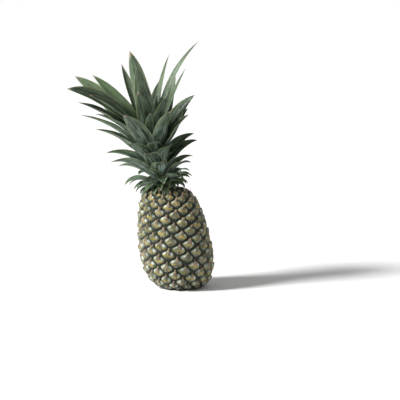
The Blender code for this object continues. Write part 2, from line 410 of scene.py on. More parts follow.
@dataclass(frozen=True)
class RindFinish:
    """The rind: pale grey-green sepals, their bloom partly a painted highlight, and tan bracts between dark
    green grooves deepened to near black as painted shade.
    """

    # Dark green of the grooves, taken down to near black as painted shade in the recesses between the eyes.
    groove: Colour = (0.010, 0.013, 0.007)
    green: Colour = (0.022, 0.036, 0.016)
    sepal: Colour = (0.135, 0.185, 0.110)
    # The rind's pale waxy bloom; on the raised sepals it also stands in as a painted highlight.
    bloom: Colour = (0.66, 0.73, 0.65)
    bract: Colour = (0.34, 0.235, 0.155)
    rose: Colour = (0.58, 0.43, 0.34)
    dry: Colour = (0.085, 0.055, 0.028)
    ochre: Colour = (0.56, 0.41, 0.045)
    moss: Colour = (0.105, 0.135, 0.045)
    streak_scale: Colour = (15.0, 2.6, 1.0)
    coarse_scale: float = 300.0
    fine_scale: float = 950.0
    patch_scale: float = 62.0
    blot_scale: float = 190.0

    def material(self) -> bpy.types.Material:
        """Builds the material.

        Returns:
            The rind's material, which reads the skin's named values.
        """
        make = NodeMaker("rind")
        place = make.coordinates()
        streaks = make.noise(make.scaled(make.coordinates("UV"), self.streak_scale), 1.0, 4.0, 0.65)
        coarse = make.noise(place, self.coarse_scale, 3.0, 0.65)
        fine = make.noise(place, self.fine_scale, 3.0, 0.65)
        patches = make.noise(place, self.patch_scale, 2.5, 0.6)
        blots = make.noise(place, self.blot_scale, 2.0, 0.6)
        sepal = make.layered(
            self.green, (coarse, 0.40, 0.60, 1.0, self.sepal), (streaks, 0.50, 0.62, 0.45, self.bloom)
        )
        # Partly the rind's waxy bloom, partly a painted highlight: the sepal bulges are washed pale.
        bloom_and_highlight_share = make.sums("MULTIPLY", make.attribute("sepal"), make.spread(blots, 0.40, 0.52, 0.10, 1.0))
        sepal = make.mixed(bloom_and_highlight_share, sepal, self.bloom)
        bract = make.layered(
            self.dry,
            (streaks, 0.40, 0.58, 1.0, self.bract),
            (fine, 0.48, 0.64, 0.75, self.rose),
            (blots, 0.50, 0.60, 0.80, self.moss),
        )
        worn = make.sums("MULTIPLY", make.attribute("bract"), make.spread(coarse, 0.36, 0.54, 0.25, 1.0))
        colour = make.mixed(worn, sepal, bract)
        band = make.attribute("band")
        band_share = make.sums("MULTIPLY", band, make.spread(coarse, 0.44, 0.50), clamp=True)
        ochre = make.layered(self.moss, (fine, 0.34, 0.50, 1.0, self.ochre))
        colour = make.mixed(band_share, colour, ochre)
        colour = make.layered(colour, (patches, 0.44, 0.64, 0.65, self.green))
        # Painted shade: the grooves between the eyes, and the flat rims and caps, take the near-black groove
        # colour.
        colour = make.mixed(make.attribute("groove"), colour, self.groove)
        roughness = make.spread(coarse, 0.3, 0.7, 0.40, 0.66)
        relief = make.relief((streaks, 0.75, 0.0009), (coarse, 0.55, 0.0006), (fine, 0.40, 0.0003))
        return make.finish(colour, roughness, relief, 0.35)


@dataclass(frozen=True)
class PaperFinish:
    """The dry points of the bracts."""

    root: Colour = (0.12, 0.10, 0.05)
    middle: Colour = (0.36, 0.25, 0.16)
    point: Colour = (0.48, 0.35, 0.24)
    stain: Colour = (0.07, 0.048, 0.026)
    fibre_scale: Colour = (9.0, 1.5, 1.0)
    speckle_scale: float = 700.0

    def material(self) -> bpy.types.Material:
        """Builds the material.

        Returns:
            The material, which reads how far along its point each place is.
        """
        make = NodeMaker("bract_point")
        place = make.coordinates()
        along = make.attribute("along")
        fibres = make.noise(make.scaled(make.coordinates("UV"), self.fibre_scale), 1.0, 3.0)
        speckle = make.noise(place, self.speckle_scale, 2.0)
        colour = make.ramp(along, ((0.0, self.root), (0.45, self.middle), (1.0, self.point)))
        colour = make.layered(
            colour, (fibres, 0.48, 0.68, 0.8, self.stain), (speckle, 0.58, 0.74, 0.5, self.stain)
        )
        relief = make.relief((fibres, 0.5, 0.0004))
        return make.finish(colour, make.spread(speckle, 0.3, 0.7, 0.6, 0.8), relief, 0.3)


@dataclass(frozen=True)
class LeafFinish:
    """A crown leaf: dark green above, a pale bloom below, a thin dry edge and point."""

    deep: Colour = (0.008, 0.015, 0.008)
    green: Colour = (0.058, 0.098, 0.044)
    fresh: Colour = (0.160, 0.245, 0.095)
    bloom: Colour = (0.42, 0.54, 0.48)
    edge: Colour = (0.30, 0.36, 0.18)
    dry: Colour = (0.50, 0.43, 0.32)
    scorch: Colour = (0.16, 0.105, 0.055)
    stripe_scale: Colour = (7.5, 0.40, 1.0)
    vein_scale: Colour = (26.0, 0.55, 1.0)
    thread_scale: Colour = (70.0, 1.3, 1.0)
    scale_scale: Colour = (60.0, 9.0, 1.0)
    cloud_scale: Colour = (2.4, 0.9, 1.0)
    patch_scale: float = 46.0
    dry_from: float = 0.935
    dry_to: float = 0.985

    def material(self) -> bpy.types.Material:
        """Builds the material.

        Returns:
            The leaves' material, which reads the blade's named values.
        """
        make = NodeMaker("leaf")
        place = make.coordinates()
        blade = make.coordinates("UV")
        stripes = make.noise(make.scaled(blade, self.stripe_scale), 1.0, 2.0, 0.6)
        veins = make.noise(make.scaled(blade, self.vein_scale), 1.0, 3.0, 0.6)
        threads = make.noise(make.scaled(blade, self.thread_scale), 1.0, 2.0, 0.6)
        scales = make.noise(make.scaled(blade, self.scale_scale), 1.0, 3.0, 0.7)
        patches = make.noise(place, self.patch_scale, 3.0, 0.6)
        clouds = make.noise(make.scaled(blade, self.cloud_scale), 1.0, 3.0, 0.6)
        along = make.attribute("along")
        under = make.attribute("under")
        tone = make.attribute("tone")
        lines = make.sums("ADD", veins, stripes)
        green = make.layered(
            self.deep, (lines, 0.90, 1.14, 1.0, self.green), (threads, 0.55, 0.70, 0.45, self.fresh)
        )
        fresh_share = make.sums("ADD", tone, make.spread(clouds, 0.35, 0.70, -0.28, 0.28), clamp=True)
        fresh = make.layered(self.green, (veins, 0.36, 0.60, 1.0, self.fresh))
        green = make.mixed(fresh_share, green, fresh)
        from_foot = make.spread(along, 0.0, 0.80, 1.0, 0.0)
        low_bloom = make.sums("MULTIPLY", under, make.spread(from_foot, 0.20, 0.95, 0.10, 1.0))
        frost = make.attribute("frost")
        high_bloom = make.sums("MULTIPLY", frost, make.spread(from_foot, 0.1, 0.9, 0.25, 1.0))
        bloom = make.sums("ADD", low_bloom, high_bloom, clamp=True)
        worn = make.spread(scales, 0.36, 0.60, 0.45, 1.0)
        rubbed = make.spread(make.sums("ADD", clouds, stripes), 0.88, 1.14, 0.08, 1.0)
        bloom = make.sums("MULTIPLY", make.sums("MULTIPLY", bloom, worn), rubbed)
        colour = make.mixed(bloom, green, self.bloom)
        colour = make.mixed(make.attribute("edge"), colour, self.edge)
        ragged = make.sums("ADD", along, make.spread(patches, 0.3, 0.7, -0.04, 0.04))
        dry = make.layered(self.scorch, (scales, 0.4, 0.6, 1.0, self.dry))
        colour = make.layered(colour, (ragged, self.dry_from, self.dry_to, 1.0, dry))
        roughness = make.spread(bloom, 0.0, 0.8, 0.38, 0.64)
        relief = make.relief(
            (stripes, 0.70, 0.0014), (veins, 0.70, 0.0008), (threads, 0.45, 0.0004), (scales, 0.25, 0.0002)
        )
        return make.finish(colour, roughness, relief, 0.5)


@dataclass(frozen=True)
class CutStalkFinish:
    """The cut end of the stalk: fibre bundles in dry pith inside a browner skin."""

    pith: Colour = (0.60, 0.50, 0.33)
    fibre: Colour = (0.34, 0.23, 0.12)
    skin: Colour = (0.26, 0.19, 0.10)
    core: float = 0.0095
    skin_depth: float = 0.0022
    cell_scale: float = 620.0
    cell_stretch: Colour = (1.0, 1.0, 0.08)
    mottle_scale: float = 260.0

    def material(self) -> bpy.types.Material:
        """Builds the material.

        Returns:
            The cut stalk's material, on object coordinates.
        """
        make = NodeMaker("cut_stalk_fibre")
        place = make.coordinates()
        long_cells = {"Vector": make.scaled(place, self.cell_stretch), "Scale": self.cell_scale}
        bundles = make.spread(make.node("TexVoronoi", "Distance", long_cells), 0.18, 0.42, 1.0, 0.0)
        mottle = make.noise(place, self.mottle_scale, 4.0)
        squares = [make.sums("POWER", make.node("SeparateXYZ", axis, {0: place}), 2.0) for axis in "XY"]
        distance = make.sums("SQRT", make.sums("ADD", *squares))
        pith = make.layered(self.pith, (mottle, 0.3, 0.7, 0.45, self.fibre))
        colour = make.mixed(bundles, pith, self.fibre)
        colour = make.layered(colour, (distance, self.core, self.core + self.skin_depth, 1.0, self.skin))
        relief = make.relief((make.sums("SUBTRACT", mottle, bundles), 0.6, 0.0005))
        return make.finish(colour, make.spread(mottle, 0.3, 0.7, 0.7, 0.92), relief, 0.25)


@dataclass(frozen=True)
class StemFinish:
    """The crown stem: pale green tissue with upright fibres and leaf scars."""

    pale: Colour = (0.50, 0.53, 0.30)
    green: Colour = (0.20, 0.28, 0.12)
    scar: Colour = (0.33, 0.22, 0.11)
    fibre_scale: Colour = (900.0, 900.0, 60.0)
    scar_scale: Colour = (60.0, 60.0, 420.0)

    def material(self) -> bpy.types.Material:
        """Builds the material.

        Returns:
            The crown stem's material, on object coordinates.
        """
        make = NodeMaker("crown_stem_fibre")
        place = make.coordinates()
        fibres = make.noise(make.scaled(place, self.fibre_scale), 1.0, 4.0)
        scars = make.noise(make.scaled(place, self.scar_scale), 1.0, 2.0)
        colour = make.layered(
            self.green, (fibres, 0.35, 0.65, 1.0, self.pale), (scars, 0.56, 0.70, 0.8, self.scar)
        )
        relief = make.relief((fibres, 0.5, 0.0005))
        return make.finish(colour, make.spread(fibres, 0.3, 0.7, 0.55, 0.75), relief, 0.35)


@dataclass(frozen=True)
class FloorFinish:
    """A plain pale floor with the faintest unevenness."""

    light: Colour = (0.93, 0.93, 0.925)
    shade: Colour = (0.90, 0.90, 0.895)
    grain_scale: float = 25.0

    def material(self) -> bpy.types.Material:
        """Builds the material.

        Returns:
            The floor's material.
        """
        make = NodeMaker("floor")
        grain = make.noise(make.coordinates(), self.grain_scale, 4.0)
        colour = make.layered(self.light, (grain, 0.3, 0.7, 1.0, self.shade))
        roughness = make.spread(grain, 0.3, 0.7, 0.75, 0.85)
        return make.finish(colour, roughness, make.relief((grain, 0.05, 0.0005)), 0.2)


# ---- fruit ----
@dataclass(frozen=True)
class Fruit:
    """The fruit's body and its lattice of eyes.

    Attributes:
        height: From the cut base to the neck.
        radius: At the belly, in the grooves.
        belly: Height of the belly.
        base_radius: The flat spot that it stands on.
        neck_radius: The flat under the crown.
        shoulder_power: Superellipse power above the belly.
        shoulder_taper: Share of the radius lost evenly from belly to neck.
        foot_power: Superellipse power below the belly.
        lean: How far the fruit leans to -X.
        shallow: Spirals that climb gently to the right.
        steep: Spirals that climb steeply to the left.
        eye_height: From one eye to the next straight above it, at the belly.
        eye_shrink: How far eyes shorten where the fruit narrows.
        relief: How far an eye stands above the grooves.
        tip_relief: How far a bract's point stands above its eye.
        tip_rise: How far that point reaches up.
        fade: The eyes flatten out over this distance at each end.
        stalk_radius: The cut stalk's radius.
        stalk_length: How deep it sits.
        clearance: Between the stalk and its pocket.
        cells: Grid cells along each side of an eye.
    """

    height: float = 0.150
    radius: float = 0.0515
    belly: float = 0.060
    base_radius: float = 0.0300
    neck_radius: float = 0.0195
    shoulder_power: float = 3.2
    shoulder_taper: float = 0.16
    foot_power: float = 2.4
    lean: float = math.radians(8.0)
    shallow: int = 9
    steep: int = 14
    eye_height: float = 0.0198
    eye_shrink: float = 0.5
    relief: float = 0.0042
    tip_relief: float = 0.0022
    tip_rise: float = 0.0030
    fade: float = 0.016
    stalk_radius: float = 0.0125
    stalk_length: float = 0.0120
    clearance: float = 0.0003
    cells: int = 18

    @property
    def per_eye(self) -> float:
        """Travel from one eye to the next along the one spiral that passes them all."""
        return self.eye_height / (self.shallow + self.steep)

    @property
    def turns(self) -> tuple[float, float]:
        """The angles of one step along a shallow and along a steep spiral."""
        full = 2 * math.pi
        eye_turn = full / (4 + 1 / GOLDEN_RATIO)
        return 2 * full - self.shallow * eye_turn, 3 * full - self.steep * eye_turn

    def axis(self, height: np.ndarray | float) -> np.ndarray | float:
        """How far the fruit's middle has moved along X at a height."""
        return -math.tan(self.lean) * height

    def profile(self, samples: int = 400) -> tuple[np.ndarray, np.ndarray]:
        """Radius and height along the rind, from the edge of the base to the neck.

        Both halves are superellipses that meet at the belly: the radius falls as
        (1 - x^n)^(1/n), where x runs from 0 at the belly to 1 at the half's own pole.

        Args:
            samples: Points on each half.

        Returns:
            The radii and the heights.
        """
        base_share = self.base_radius / self.radius
        cut = (1 - base_share**self.foot_power) ** (1 / self.foot_power)
        down = np.linspace(cut, 0, samples, endpoint=False)
        foot_radius = self.radius * (1 - down**self.foot_power) ** (1 / self.foot_power)
        foot_height = self.belly * (1 - down / cut)
        swing = np.linspace(0, math.pi / 2, samples)
        up = np.sin(swing) ** (2 / self.shoulder_power)
        shoulder = self.radius * np.cos(swing) ** (2 / self.shoulder_power) * (1 - self.shoulder_taper * up)
        kept = shoulder > self.neck_radius
        neck_up = np.interp(-self.neck_radius, -shoulder, up)
        shoulder_up = np.append(up[kept], neck_up)
        shoulder_radius = np.append(shoulder[kept], self.neck_radius)
        shoulder_height = self.belly + (self.height - self.belly) * shoulder_up / neck_up
        return np.append(foot_radius, shoulder_radius), np.append(foot_height, shoulder_height)

    def travel(self) -> tuple[np.ndarray, np.ndarray]:
        """Distance along the profile: stretched where the fruit narrows, and plain."""
        radius, height = self.profile()
        steps = np.hypot(np.diff(radius), np.diff(height))
        stretched = steps * (self.radius / ((radius[1:] + radius[:-1]) / 2)) ** self.eye_shrink
        return np.append(0.0, np.cumsum(stretched)), np.append(0.0, np.cumsum(steps))

    def spot(self, place: np.ndarray, angle: np.ndarray, lift: np.ndarray) -> np.ndarray:
        """Points over the rind.

        The profile's radius and height at each place move out along its normal by
        the lift, swing round by the angle, and lean with the fruit.

        Args:
            place: Stretched distance along the profile.
            angle: The turn round the fruit.
            lift: How far above the grooves.

        Returns:
            The points, with X, Y and Z last.
        """
        radius, height = self.profile()
        travel, _ = self.travel()
        out_r = np.gradient(height)
        out_z = -np.gradient(radius)
        size = np.hypot(out_r, out_z)
        r = np.interp(place, travel, radius) + lift * np.interp(place, travel, out_r / size)
        z = np.interp(place, travel, height) + lift * np.interp(place, travel, out_z / size)
        return np.stack([r * np.cos(angle) + self.axis(z), r * np.sin(angle), z], axis=-1)

    def fading(self, place: np.ndarray) -> np.ndarray:
        """How strongly the eyes stand up: 0 at either rim and 1 away from them."""
        travel, along = self.travel()
        here = np.interp(place, travel, along)
        return np.clip(np.minimum(here, along[-1] - here) / self.fade, 0, 1)


@dataclass(frozen=True)
class Rind:
    """The fruit's skin, with every eye as a domed scale, its bract and its two sepals.

    Attributes:
        fruit: The body that it covers.
        roundness: Power of the curve that rounds an eye's corners.
        bract_top: How high up its eye the bract's point reaches, as a share.
        waist: Where the bract's broad foot ends and its point starts.
        bract_half: Half the point's width there, as a share of the eye's half width.
        wall_top: Distance from the eye's middle at which its wall starts to fall.
        wall_foot: Distance at which the wall has reached the groove.
        dome_share: Height of the plain dome, as a share of the fruit's relief.
        foot_rise: How far the bract's foot stands above the dome.
        keel: Height of the ridge down the bract's middle.
        sepal_rise: How far the sepals bulge.
        point_share: Height of the bract's point, as a share of its full relief.
        band_width: Half the breadth of the coloured band at the waist.
        neck_groove: How much of the groove's dark colour, partly painted shade, the flat rims take.
    """

    fruit: Fruit
    roundness: float = 3.2
    bract_top: float = 0.95
    waist: float = 0.50
    bract_half: float = 0.27
    wall_top: float = 0.60
    wall_foot: float = 0.95
    dome_share: float = 0.80
    foot_rise: float = 0.0007
    keel: float = 0.0005
    sepal_rise: float = 0.0006
    point_share: float = 0.75
    band_width: float = 0.085
    neck_groove: float = 0.85

    def relief(self, s: np.ndarray, t: np.ndarray, number: np.ndarray) -> dict[str, np.ndarray]:
        """The height of an eye and the share of each of its tissues.

        The distance from the middle is (|2s-1|^n + |2t-1|^n)^(1/n). A wall climbs from
        the groove to a dome. The bract's foot covers the lower half and its point
        narrows evenly from the waist to the top, a little proud of two bulging sepals.

        Args:
            s: Share of the way along the eye's shallow side.
            t: Share of the way along its steep side.
            number: Which eye it is.

        Returns:
            Values named lift, rise, groove, bract, band and sepal.
        """
        uneven = scatter(number, 1.0)
        across = s - t + 0.10 * (uneven - 0.5)
        up = (s + t) / 2
        power = self.roundness
        middle = (np.abs(2 * s - 1) ** power + np.abs(2 * t - 1) ** power) ** (1 / power)
        wall = 1 - smoothstep(self.wall_top, self.wall_foot, middle)
        dome = 0.66 + 0.34 * (1 - np.clip(middle, 0, 1) ** 2)
        half = self.bract_half * np.clip((self.bract_top - up) / (self.bract_top - self.waist), 0, 1) ** 0.85
        in_point = 1 - smoothstep(0.0, 0.09, np.abs(across) - half)
        point = in_point * smoothstep(self.waist - 0.06, self.waist + 0.02, up) * (up < self.bract_top + 0.02)
        foot = 1 - smoothstep(self.waist - 0.05, self.waist + 0.03, up + 0.10 * across**2)
        bract = np.maximum(point, foot)
        sepals = np.exp(-(((np.abs(across) - 0.42) / 0.24) ** 2) - ((up - 0.66) / 0.13) ** 2)
        climb = np.clip(up / self.waist, 0, 1) * self.foot_rise
        keel = self.keel * np.exp(-((across / 0.09) ** 2)) * smoothstep(0.25, 0.55, up)
        rising = np.clip((up - self.waist) / (self.bract_top - self.waist), 0, 1)
        body = self.fruit.relief * self.dome_share
        lift = wall * (body * dome * (0.92 + 0.16 * (scatter(number, 2.0) - 0.5)))
        lift = lift + wall * (bract * climb + keel + self.sepal_rise * sepals)
        lift = lift + point * wall**0.3 * self.fruit.tip_relief * self.point_share * rising
        band = np.exp(-(((up - self.waist + 0.03 + 0.12 * across**2) / self.band_width) ** 2))
        band = band * (1 - smoothstep(0.60, 0.95, np.abs(across)))
        return {
            "lift": lift,
            "rise": self.fruit.tip_rise * point * rising**2,
            # Where the dark groove colour goes, partly painted shade in the recesses.
            "groove": smoothstep(0.70, 0.92, middle) * (1 - 0.9 * point * smoothstep(0.5, 0.8, up)),
            "bract": np.clip(0.95 * point + 0.45 * foot, 0, 1),
            "band": band * (0.35 + 0.65 * scatter(number, 3.0)),
            # Where the pale bloom, partly a painted highlight, lies: over the sepal bulges.
            "sepal": np.clip(sepals * 1.3, 0, 1) * (1 - point),
        }

    def skin(self) -> Skin:
        """The whole skin as one closed surface.

        Grid columns follow the shallow spirals and grid rows the steep ones. After a
        full turn the columns meet themselves again, further up the rows by one eye for
        each shallow spiral.

        Returns:
            The skin, closed over the neck, and round the stalk's pocket at the base.
        """
        fruit = self.fruit
        cells = fruit.cells
        around = fruit.steep * cells
        wrap = fruit.shallow * cells
        travel, _ = fruit.travel()
        first = -wrap - cells
        last = math.ceil(travel[-1] / (fruit.steep * fruit.per_eye)) * cells + cells
        columns, rows = np.meshgrid(np.arange(around), np.arange(first, last), indexing="ij")
        a = columns / cells
        b = rows / cells
        shallow_turn, steep_turn = fruit.turns
        angle = a * shallow_turn + b * steep_turn
        place = (a * fruit.shallow + b * fruit.steep) * fruit.per_eye
        number = np.floor(a) * fruit.shallow + np.floor(b) * fruit.steep
        eye = self.relief(a - np.floor(a), b - np.floor(b), number)
        inside = (place > 0) & (place < travel[-1])
        place = np.clip(place, 0, travel[-1])
        fade = fruit.fading(place)
        raised = np.clip(place + eye["rise"] * fade, 0, travel[-1])
        points = fruit.spot(raised, angle, eye["lift"] * fade)

        tall = last - first
        right = (columns + 1) % around
        right_rows = rows + np.where(columns + 1 == around, wrap, 0)
        low = rows - first
        low_right = right_rows - first
        usable = (low + 1 < tall) & (low_right + 1 < tall)
        low_right_safe = np.minimum(low_right, tall - 2)
        low_safe = np.minimum(low, tall - 2)
        corners = np.stack(
            [
                columns * tall + low_safe,
                right * tall + low_right_safe,
                right * tall + low_right_safe + 1,
                columns * tall + low_safe + 1,
            ],
            axis=-1,
        )
        kept = usable & inside.ravel()[corners].any(axis=-1)
        faces = corners[kept]
        # The flat rims at the base and under the crown take the dark groove colour, partly painted shade.
        values = {
            "groove": np.maximum(eye["groove"], self.neck_groove * (1 - fade)).ravel(),
            "bract": eye["bract"].ravel(),
            "band": (eye["band"] * fade).ravel(),
            "sepal": eye["sepal"].ravel(),
        }
        pattern = ((a - np.floor(a)) - (b - np.floor(b)) + number * 0.37, (a + b) / 2 + number * 0.11)
        uv = np.stack(pattern, axis=-1)
        return self.closed(Skin(points.reshape(-1, 3), faces, values, uv.reshape(-1, 2)))

    def closed(self, skin: Skin) -> Skin:
        """Closes the two rims of the skin.

        The neck's rim runs straight in to the middle of the neck. The base's rim runs
        in to the stalk's pocket, up its wall and over its roof to the middle.

        Args:
            skin: The open skin.

        Returns:
            The same skin, closed, with only the points that its faces use.
        """
        fruit = self.fruit
        ends = np.concatenate([skin.faces[:, [k, (k + 1) % 4]] for k in range(4)])
        ordered = np.sort(ends, axis=1)
        _, index, count = np.unique(ordered, axis=0, return_index=True, return_counts=True)
        rim = ends[index[count == 1]]
        points = [skin.points]
        faces = [skin.faces]
        total = len(skin.points)
        at_neck = skin.points[rim[:, 0], 2] > fruit.height / 2
        pocket = fruit.stalk_radius + fruit.clearance
        roof = fruit.stalk_length + fruit.clearance
        neck_rings = ((0.5 * fruit.neck_radius, fruit.height),)
        halfway = 0.5 * (fruit.base_radius + pocket)
        base_rings = ((halfway, 0.0), (pocket, 0.0), (pocket, roof), (0.5 * pocket, roof))
        for chosen, rings, level in ((at_neck, neck_rings, fruit.height), (~at_neck, base_rings, roof)):
            edges = rim[chosen]
            used, flat = np.unique(edges, return_inverse=True)
            local = flat.reshape(edges.shape)
            outward = skin.points[used, :2] - np.stack(
                [fruit.axis(skin.points[used, 2]), np.zeros(len(used))], axis=-1
            )
            outward = unit(outward)
            before = edges
            for radius, height in rings:
                ring = np.column_stack([outward * radius, np.full(len(used), height)])
                ring[:, 0] += fruit.axis(height)
                points.append(ring)
                after = local + total
                faces.append(np.column_stack([before[:, ::-1], after]))
                before = after
                total += len(used)
            points.append(np.array([[fruit.axis(level), 0.0, level]]))
            centre = np.full(len(before), total)
            faces.append(np.column_stack([before[:, ::-1], centre, centre]))
            total += 1
        all_points = np.concatenate(points)
        all_faces = np.concatenate(faces)
        added = len(all_points) - len(skin.points)
        # The caps take about half of the dark groove colour, partly painted shade.
        fill = {"groove": 0.55, "bract": 0.6, "band": 0.0, "sepal": 0.0}
        values = {name: np.append(old, np.full(added, fill[name])) for name, old in skin.values.items()}
        uv = np.concatenate([skin.uv, all_points[-added:, :2] * 60.0])
        used, flat = np.unique(all_faces, return_inverse=True)
        values = {name: old[used] for name, old in values.items()}
        return Skin(all_points[used], flat.reshape(all_faces.shape), values, uv[used])

    def build(self) -> bpy.types.Object:
        """Makes the rind, which stands for the fruit's solid."""
        made = self.skin().piece("fine_rind", RindFinish().material(), Slot.RIND)
        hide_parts("fruit")
        return made


@dataclass(frozen=True)
class BractPoints:
    """The dry, upright point of every eye's bract.

    Attributes:
        fruit: The body that they grow on.
        length: The usual length.
        width: Width at the root.
        thickness: Thickness at the root.
        root_up: How far up its eye a point is rooted, as a share.
        sink: How far the root lies under the eye's face.
        face_share: Height of that face there, as a share of the fruit's relief.
        bare_foot: Distance from the base that bears no points.
        bare_neck: Distance from the neck that bears none.
        lean: How far a point leans out, in degrees.
        lean_spread: How much the lean varies.
        shoulder_lean: How much it gains by the neck.
        tip_half: Half its width at the very tip.
    """

    fruit: Fruit
    length: float = 0.0060
    width: float = 0.0062
    thickness: float = 0.0011
    root_up: float = 0.66
    sink: float = 0.0006
    face_share: float = 0.86
    bare_foot: float = 0.006
    bare_neck: float = 0.016
    lean: float = 10.0
    lean_spread: float = 12.0
    shoulder_lean: float = 26.0
    tip_half: float = 0.00015

    def skin(self) -> Skin:
        """All the points as one set of closed shapes.

        Each is a flattened six-sided tube that narrows to a point. It leaves the
        surface by its lean, which grows towards the shoulder, and curls out again.

        Returns:
            The points' surface.
        """
        fruit = self.fruit
        travel, _ = fruit.travel()
        total = int(travel[-1] / fruit.per_eye)
        number = np.arange(total)
        a = (number * pow(fruit.shallow, -1, fruit.steep)) % fruit.steep
        b = (number - a * fruit.shallow) / fruit.steep
        shallow_turn, steep_turn = fruit.turns
        rooted_a = a + self.root_up
        rooted_b = b + self.root_up
        angle = rooted_a * shallow_turn + rooted_b * steep_turn
        place = (rooted_a * fruit.shallow + rooted_b * fruit.steep) * fruit.per_eye
        kept = (place > self.bare_foot) & (place < travel[-1] - self.bare_neck)
        number, angle, place = number[kept], angle[kept], place[kept]
        fade = np.maximum(fruit.fading(place), 0.15)
        step = 0.02
        lift = fade * (fruit.relief * self.face_share) - self.sink
        root = fruit.spot(place, angle, lift)
        place_ahead = place + step * (fruit.shallow + fruit.steep) * fruit.per_eye
        ahead = fruit.spot(place_ahead, angle + step * (shallow_turn + steep_turn), lift)
        out = unit(fruit.spot(place, angle, lift + 0.001) - root)
        up = unit(ahead - root)
        side = unit(np.cross(up, out))
        share_up = place / travel[-1]
        length = self.length * (0.75 + 0.45 * scatter(number, 5.0) + 0.20 * share_up**3)
        lean = self.lean + self.lean_spread * scatter(number, 6.0) + self.shoulder_lean * share_up**2
        lean = np.radians(lean)[:, None]
        along = np.array([0.0, 0.25, 0.5, 0.75, 1.0])
        ring = np.arange(6) * math.pi / 3
        rise = along[None, :] * length[:, None]
        away = rise * np.sin(lean) * (0.5 + 0.8 * along[None, :])
        upward = up[:, None] * (rise * np.cos(lean))[..., None]
        centre = root[:, None] + upward + out[:, None] * away[..., None]
        half = self.width / 2 * (1 - along) ** 0.9 + self.tip_half
        thick = self.thickness / 2 * (1 - 0.7 * along)
        wide = half[None, :, None] * np.cos(ring)[None, None, :]
        deep = thick[None, :, None] * np.sin(ring)[None, None, :]
        deep = deep - 0.25 * np.abs(wide)
        points = centre[:, :, None] + side[:, None, None] * wide[..., None]
        points = points + out[:, None, None] * deep[..., None]
        shape = points.shape[:3]
        values = {"along": spread_over(along[None, :, None], shape)}
        u = spread_over(np.cos(ring)[None, None, :] + number[:, None, None] * 0.7, shape)
        uv = np.stack([u, values["along"]], axis=-1)
        faces = join_tubes(len(number), len(along), len(ring))
        return Skin(points.reshape(-1, 3), faces, values, uv)

    def build(self) -> bpy.types.Object:
        """Makes the bract points as one piece."""
        return self.skin().piece("bract_points", PaperFinish().material(), Slot.RIND)


